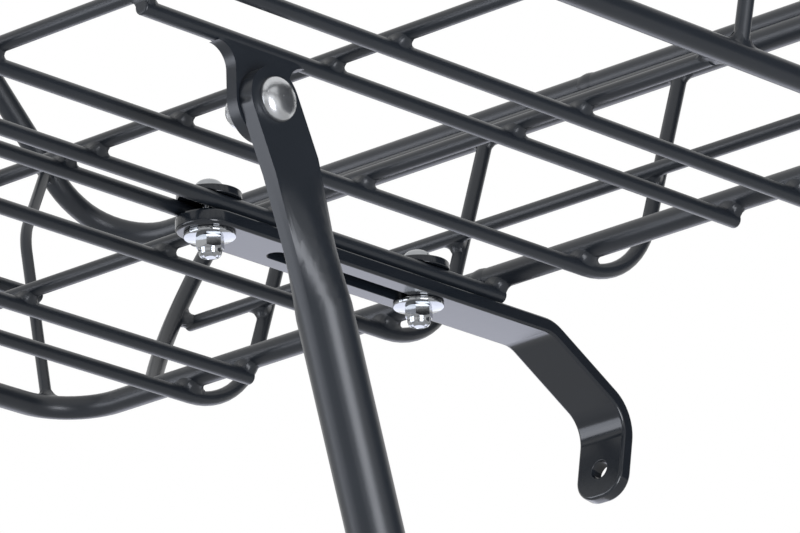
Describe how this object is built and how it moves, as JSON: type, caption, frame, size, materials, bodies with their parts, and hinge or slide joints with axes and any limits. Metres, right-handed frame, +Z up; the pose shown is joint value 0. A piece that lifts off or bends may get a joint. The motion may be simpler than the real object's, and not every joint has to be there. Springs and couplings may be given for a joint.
{
  "type": "bicycle front luggage carrier",
  "caption": "Wire tray carrier for the front of a bicycle, with a raised sloping rim, tubular stays that swing to the wheel axle and a slotted strap to the fork crown.",
  "frame": {"origin": "centre of the crown bolt hole in the turned-down end of the strap", "axes": "+X to the front of the bicycle, +Y to its left, +Z up with the tray floor level"},
  "size_m": [0.5103, 0.444, 0.5143],
  "materials": {
    "black_powder_coat": "black powder coat over welded steel, semi-gloss, with a fine orange peel",
    "black_dip_coat": "smooth black dip coat on flat steel bar, satin gloss",
    "zinc_plate": "bright zinc plate on steel fasteners"
  },
  "bodies": {
    "tray": {"base_loop_left": "black_powder_coat", "rim_loop_left": "black_powder_coat", "inner_wall_wire_left": "black_powder_coat", "outer_wall_wire_left": "black_powder_coat", "ear_wire_left": "black_powder_coat", "centre_wire_left": "black_powder_coat", "side_rail_left": "black_powder_coat", "ear_left": "black_powder_coat", "side_post_rear_left": "black_powder_coat", "side_post_middle_left": "black_powder_coat", "side_post_front_left": "black_powder_coat", "corner_post_rear_left": "black_powder_coat", "corner_post_front_left": "black_powder_coat", "strut_rear_left": "black_powder_coat", "strut_front_left": "black_powder_coat", "base_loop_right": "black_powder_coat", "rim_loop_right": "black_powder_coat", "inner_wall_wire_right": "black_powder_coat", "outer_wall_wire_right": "black_powder_coat", "ear_wire_right": "black_powder_coat", "centre_wire_right": "black_powder_coat", "side_rail_right": "black_powder_coat", "ear_right": "black_powder_coat", "side_post_rear_right": "black_powder_coat", "side_post_middle_right": "black_powder_coat", "side_post_front_right": "black_powder_coat", "corner_post_rear_right": "black_powder_coat", "corner_post_front_right": "black_powder_coat", "strut_rear_right": "black_powder_coat", "strut_front_right": "black_powder_coat", "cross_wire_rear": "black_powder_coat", "cross_wire_middle": "black_powder_coat", "cross_wire_front": "black_powder_coat", "mid_rail_rear": "black_powder_coat", "mid_rail_front": "black_powder_coat", "rear_rail": "black_powder_coat", "stay_bolts": "zinc_plate", "stay_washers": "zinc_plate", "stay_nuts": "zinc_plate"},
    "left_stay": {"stay_left": "black_powder_coat"},
    "right_stay": {"stay_right": "black_powder_coat"},
    "bracket": {"strap": "black_dip_coat", "front_saddle": "black_dip_coat", "front_clamp_bolt": "zinc_plate", "front_clamp_washer": "zinc_plate", "front_clamp_nut": "zinc_plate"},
    "rear_clamp": {"rear_saddle": "black_dip_coat", "rear_clamp_bolt": "zinc_plate", "rear_clamp_washer": "zinc_plate", "rear_clamp_nut": "zinc_plate"}
  },
  "joints": [
    {"name": "left_stay_swing", "type": "hinge", "parent": "tray", "child": "left_stay", "pos_m": [0.27383, 0.1096, 0.02751], "axis": [0, 1, 0], "range_deg": [-114, 64]},
    {"name": "right_stay_swing", "type": "hinge", "parent": "tray", "child": "right_stay", "pos_m": [0.27383, -0.1096, 0.02751], "axis": [0, 1, 0], "range_deg": [-114, 64]},
    {"name": "bracket_slide", "type": "slide", "parent": "tray", "child": "bracket", "axis": [1, 0, 0], "range_m": [-0.008, 0.02]},
    {"name": "rear_clamp_slide", "type": "slide", "parent": "bracket", "child": "rear_clamp", "axis": [1, 0, 0], "range_m": [0, 0.028]}
  ]
}
